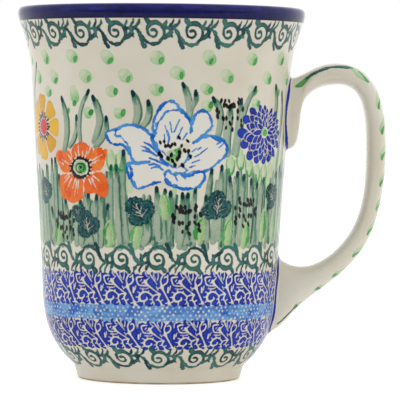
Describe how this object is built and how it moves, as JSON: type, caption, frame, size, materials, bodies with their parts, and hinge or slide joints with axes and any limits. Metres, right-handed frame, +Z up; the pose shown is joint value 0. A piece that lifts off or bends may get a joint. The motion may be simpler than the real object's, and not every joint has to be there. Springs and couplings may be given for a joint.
{
  "type": "stoneware mug",
  "caption": "Tall flared stoneware mug with a foot ring and a strap handle, stamped and hand-painted with folk flowers under a clear glaze.",
  "frame": {"origin": "centre of the foot ring's standing face, on the vessel's axis", "axes": "+Z up along the vessel's axis, +X towards the handle, the front of the painting faces -Y"},
  "size_m": [0.1196, 0.093, 0.12],
  "materials": {
    "stoneware": "bare fired stoneware, fine and slightly sandy",
    "joining_slip": "fired slip under glaze, with a cobalt line painted around the joint",
    "decorated_glaze": "cream ground with stamped and brushed green, teal, cobalt, orange and yellow colours under glossy clear glaze",
    "plain_glaze": "plain cream under glossy clear glaze",
    "cobalt_glaze": "dark cobalt band under glossy clear glaze"
  },
  "bodies": {
    "root": {"body": "stoneware", "handle": "stoneware", "upper_joint_slip": "joining_slip", "lower_joint_slip": "joining_slip", "outside_glaze": "decorated_glaze", "inside_glaze": "plain_glaze", "rim_glaze": "cobalt_glaze", "base_glaze": "plain_glaze", "handle_glaze": "decorated_glaze"}
  },
  "joints": []
}
